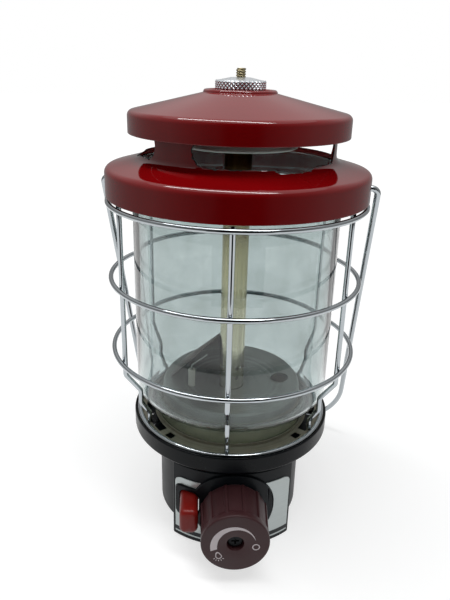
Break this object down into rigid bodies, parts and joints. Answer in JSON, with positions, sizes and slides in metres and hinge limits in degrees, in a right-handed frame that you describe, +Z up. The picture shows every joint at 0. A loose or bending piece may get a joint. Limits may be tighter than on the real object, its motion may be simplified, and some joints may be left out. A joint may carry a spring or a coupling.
{
  "type": "propane lantern",
  "caption": "Propane camping lantern: moulded body with regulator, knob and igniter, glass globe in a wire guard, enamelled ventilator and a swinging wire bail.",
  "frame": {"origin": "centre of the body's lower rim, on the lantern's axis", "axes": "+Z up along the tube and stud, -Y to the front with the knob, +X to the right of a user in front"},
  "size_m": [0.1889, 0.1999, 0.3036],
  "materials": {
    "black_plastic": "moulded, satin",
    "label_silver": "satin printed foil, left plain",
    "bezel_plastic": "moulded, satin",
    "collar_plastic": "moulded, satin",
    "pan_steel": "zinc plated, dulled by heat",
    "shield_steel": "grey plated sheet",
    "deflector_steel": "browned by heat",
    "tube_nickel": "nickel plated, straw coloured by heat",
    "brass": "machined",
    "die_cast": "die cast",
    "screw_steel": "zinc plated",
    "ceramic": "glazed ceramic",
    "glass": "clear, polished",
    "chrome_wire": "bright plated",
    "red_enamel": "gloss vitreous enamel",
    "baffle_metal": "satin",
    "zinc_nut": "knurled, bright",
    "stud_steel": "yellow passivated",
    "knob_plastic": "moulded, satin",
    "button_plastic": "moulded",
    "piezo_plastic": "moulded",
    "rubber": "matt",
    "lead_sleeve": "silicone sleeve"
  },
  "bodies": {
    "base": {"body_shell": "black_plastic", "panel_label": "label_silver", "control_bezel": "bezel_plastic", "collar": "collar_plastic", "collar_screws": "screw_steel", "base_pan": "pan_steel", "pan_screws": "screw_steel", "heat_shield": "shield_steel", "burner_deflector": "deflector_steel", "mixing_tube": "tube_nickel", "gas_jet": "brass", "burner_tube": "tube_nickel", "stud_bushing": "brass", "top_stud": "stud_steel", "electrode_insulator": "ceramic", "electrode_wire": "screw_steel", "igniter_lead": "lead_sleeve", "piezo_igniter": "piezo_plastic", "regulator_body": "die_cast", "regulator_screws": "screw_steel", "regulator_diaphragm": "rubber", "regulator_spring": "screw_steel", "regulator_bonnet": "die_cast", "inlet_seal": "rubber", "inlet_pin": "brass", "valve_gland": "brass", "globe": "glass", "guard_ring_top": "chrome_wire", "guard_ring_upper": "chrome_wire", "guard_ring_lower": "chrome_wire", "guard_foot_ring": "chrome_wire", "guard_upright_1": "chrome_wire", "guard_upright_2": "chrome_wire", "guard_upright_3": "chrome_wire", "guard_upright_4": "chrome_wire", "guard_upright_5": "chrome_wire", "guard_upright_6": "chrome_wire", "ventilator": "red_enamel", "ventilator_cap": "red_enamel", "cap_baffle": "baffle_metal"},
    "nut": {"thumb_nut": "zinc_nut"},
    "bail": {"bail": "chrome_wire"},
    "knob": {"control_knob": "knob_plastic", "knob_screw": "screw_steel", "valve_stem": "brass"},
    "button": {"igniter_button": "button_plastic", "igniter_plunger": "ceramic"}
  },
  "joints": [
    {"name": "bail_swing", "type": "hinge", "parent": "base", "child": "bail", "pos_m": [0, 0, 0.23641], "axis": [0.9877, -0.1564, 0], "range_deg": [0, 314]},
    {"name": "knob_turn", "type": "hinge", "parent": "base", "child": "knob", "pos_m": [0, -0.08, 0.033], "axis": [0, -1, 0], "range_deg": [0, 210]},
    {"name": "button_press", "type": "slide", "parent": "base", "child": "button", "axis": [0, 1, 0], "range_m": [0, 0.006], "stiffness_N_per_m": 1000, "springref_m": -0.004},
    {"name": "nut_turn", "type": "hinge", "parent": "base", "child": "nut", "pos_m": [0, 0, 0.2938], "axis": [0, 0, 1], "continuous": true}
  ]
}
